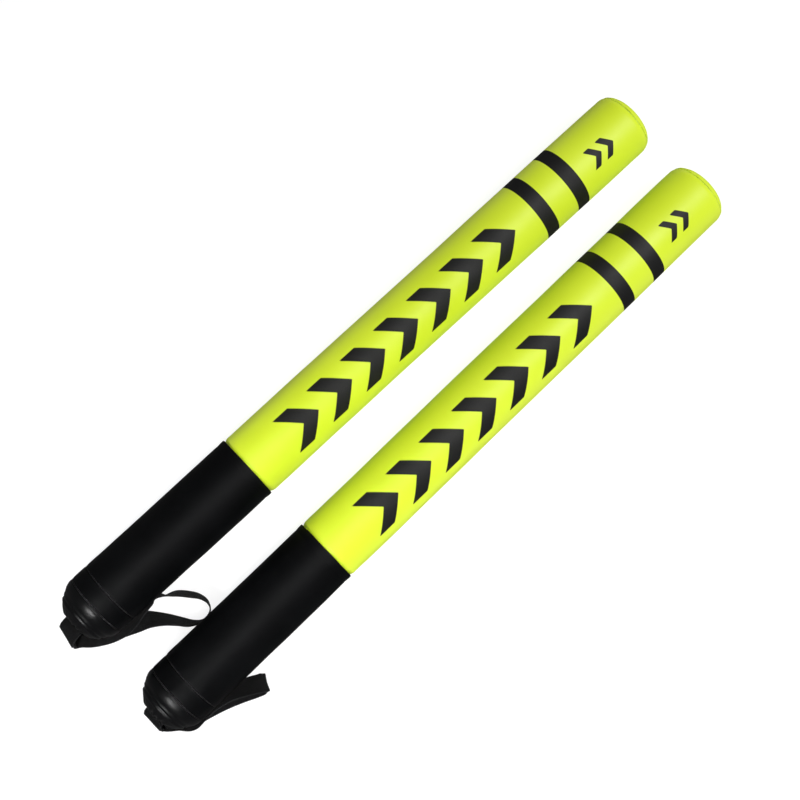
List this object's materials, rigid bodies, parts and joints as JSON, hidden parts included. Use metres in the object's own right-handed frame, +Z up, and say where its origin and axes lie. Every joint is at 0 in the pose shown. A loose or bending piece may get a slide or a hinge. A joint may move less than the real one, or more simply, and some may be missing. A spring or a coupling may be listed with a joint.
{
  "type": "focus training sticks",
  "caption": "Pair of padded round training sticks for boxing pad work, each with a leather-covered foam barrel, a plain grip and a webbing wrist strap.",
  "frame": {"origin": "on the surface that the sticks lie on, at the centre of the pair's bounding box", "axes": "+X along the sticks towards their tips, +Y across the pair towards the left stick, +Z up from the surface they lie on"},
  "size_m": [0.6168, 0.1678, 0.055],
  "materials": {
    "yellow_leather": "smooth coated leather, satin, neon yellow",
    "black_leather": "smooth coated leather, semi-gloss black",
    "webbing": "ribbed flat webbing, black",
    "yellow_thread": "sewing thread",
    "black_thread": "sewing thread",
    "patch_fibre": "stiff fibre board",
    "foam": "closed-cell foam",
    "core_plastic": "extruded plastic tube",
    "plug_plastic": "moulded plastic"
  },
  "bodies": {
    "left_stick": {"left_core_tube": "core_plastic", "left_core_plug_butt": "plug_plastic", "left_core_plug_tip": "plug_plastic", "left_foam_sleeve": "foam", "left_foam_pad_tip": "foam", "left_foam_pad_butt": "foam", "left_barrel_cover": "yellow_leather", "left_tip_cap": "yellow_leather", "left_tip_seam_thread": "yellow_thread", "left_grip_cover": "black_leather", "left_butt_collar": "black_leather", "left_butt_cap": "black_leather", "left_collar_seam_thread": "black_thread", "left_cap_seam_thread": "black_thread", "left_anchor_patch": "patch_fibre", "left_strap_tail": "webbing"},
    "left_strap": {"left_wrist_loop": "webbing"},
    "right_stick": {"right_core_tube": "core_plastic", "right_core_plug_butt": "plug_plastic", "right_core_plug_tip": "plug_plastic", "right_foam_sleeve": "foam", "right_foam_pad_tip": "foam", "right_foam_pad_butt": "foam", "right_barrel_cover": "yellow_leather", "right_tip_cap": "yellow_leather", "right_tip_seam_thread": "yellow_thread", "right_grip_cover": "black_leather", "right_butt_collar": "black_leather", "right_butt_cap": "black_leather", "right_collar_seam_thread": "black_thread", "right_cap_seam_thread": "black_thread", "right_anchor_patch": "patch_fibre", "right_strap_tail": "webbing"},
    "right_strap": {"right_wrist_loop": "webbing"}
  },
  "joints": [
    {"name": "right_stick_lift", "type": "slide", "parent": "left_stick", "child": "right_stick", "axis": [0, 0, 1], "range_m": [0, 0.3]},
    {"name": "left_strap_swing", "type": "hinge", "parent": "left_stick", "child": "left_strap", "pos_m": [-0.30521, 0.05548, 0.0032], "axis": [0.2509, 0.968, 0], "range_deg": [0, 180]},
    {"name": "right_strap_swing", "type": "hinge", "parent": "right_stick", "child": "right_strap", "pos_m": [-0.29949, -0.03853, 0.0032], "axis": [-0.0093, 1, 0], "range_deg": [0, 180]}
  ]
}
